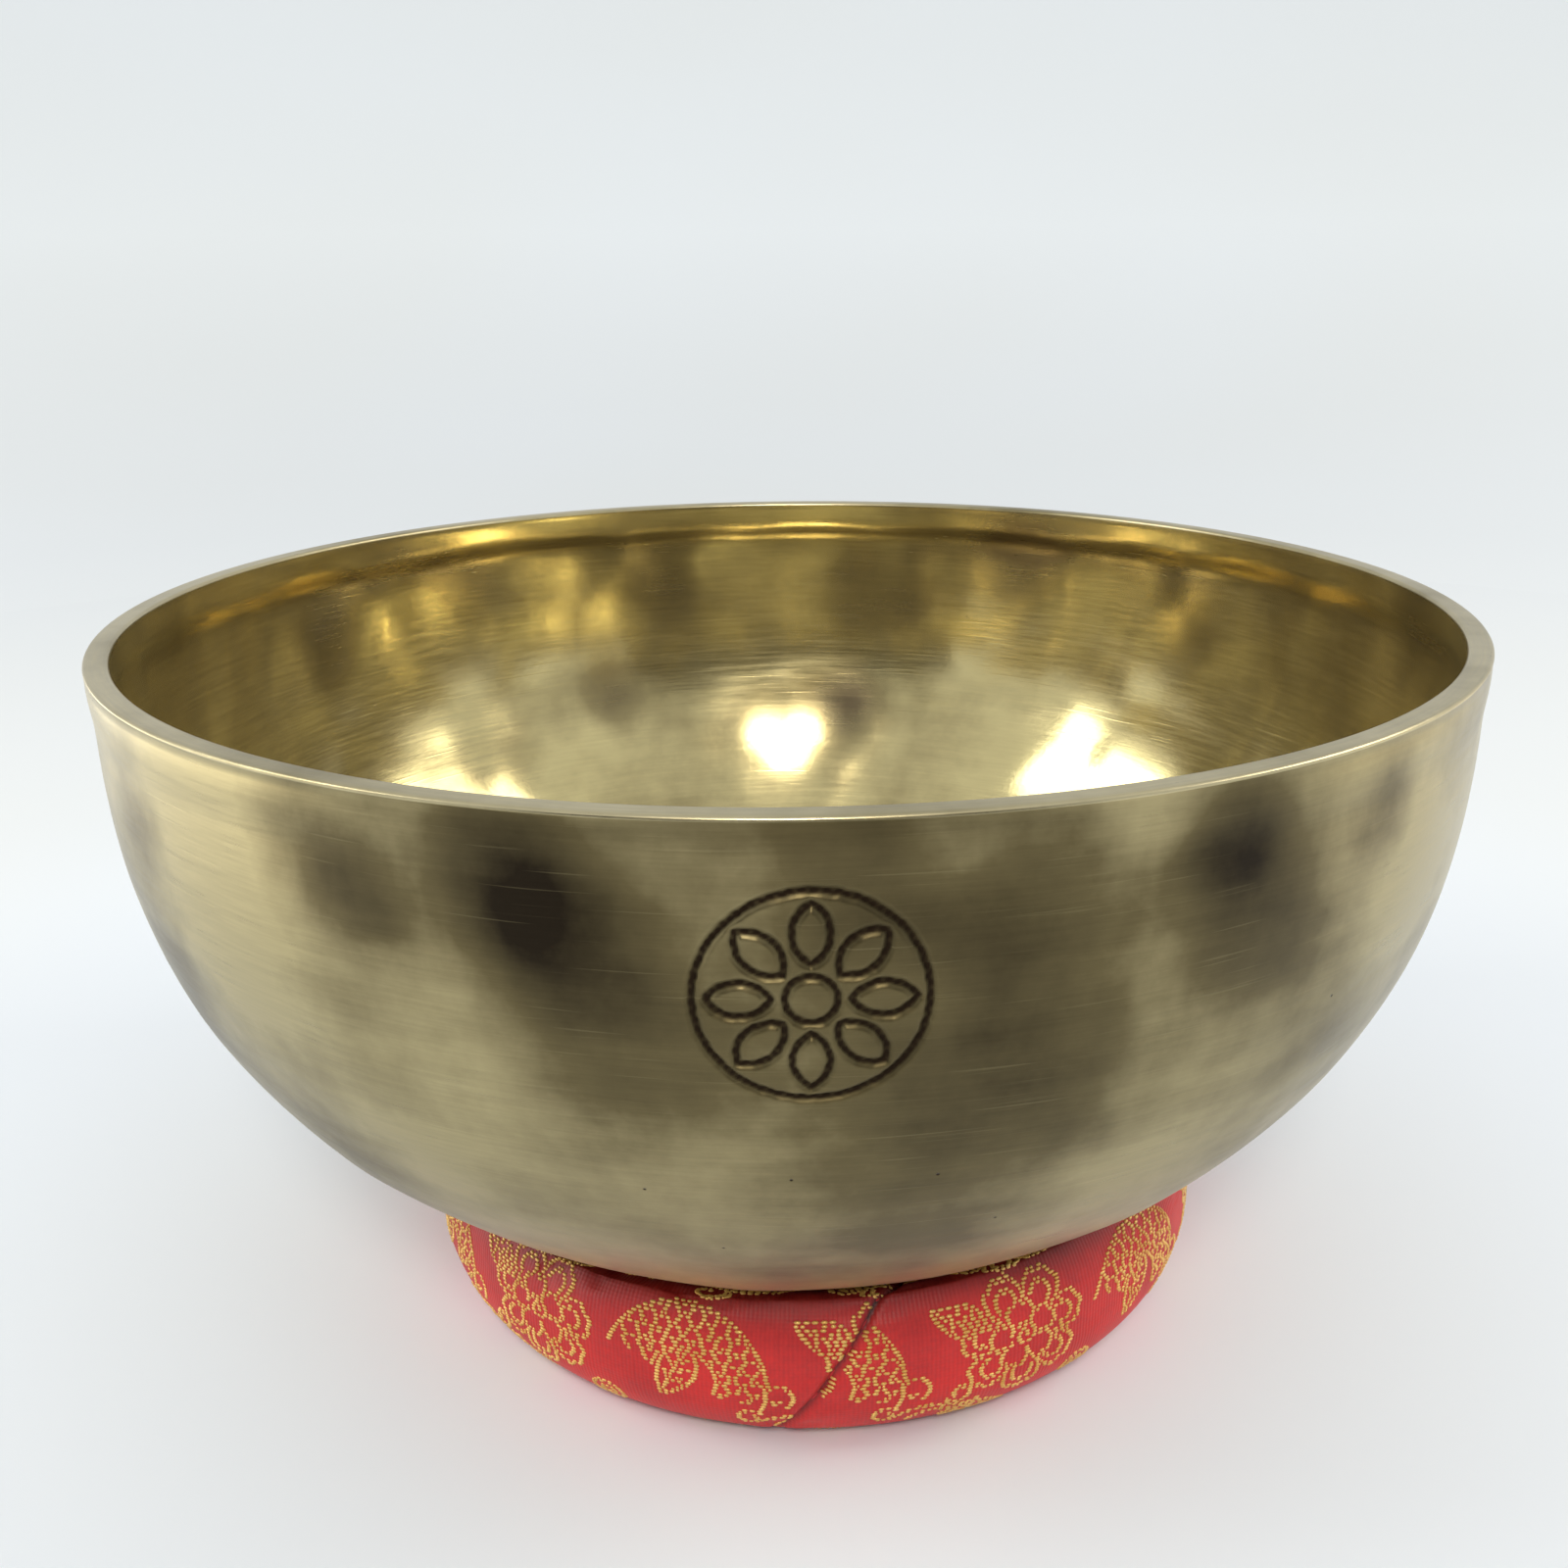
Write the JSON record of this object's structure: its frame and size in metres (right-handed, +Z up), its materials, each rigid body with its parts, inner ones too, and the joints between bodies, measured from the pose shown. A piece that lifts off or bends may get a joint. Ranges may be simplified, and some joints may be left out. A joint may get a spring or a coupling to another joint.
{
  "type": "singing bowl",
  "caption": "Hammered bronze singing bowl with a thick flat rim and an engraved rosette, resting on a red and gold brocade ring cushion.",
  "frame": {"origin": "on the surface the cushion stands on, directly under the bowl's own axis", "axes": "+Z up along the bowl's axis, the engraved medallion faces -Y, +X to its right seen from the front"},
  "size_m": [0.2308, 0.2308, 0.1205],
  "materials": {
    "bronze": "hammered, turned satin outside and burnished inside, with a brown patina",
    "brocade": "satin-ground brocade with gold figures",
    "wadding": "loose cotton wadding, tightly packed",
    "thread": "twisted polyester sewing thread"
  },
  "bodies": {
    "cushion": {"cushion_cover": "brocade", "cushion_filling": "wadding", "closing_seam": "thread", "joining_seam": "thread"},
    "bowl": {"bowl": "bronze"}
  },
  "joints": [
    {"name": "lift_off", "type": "slide", "parent": "cushion", "child": "bowl", "axis": [0, 0, 1], "range_m": [0, 0.08]}
  ]
}
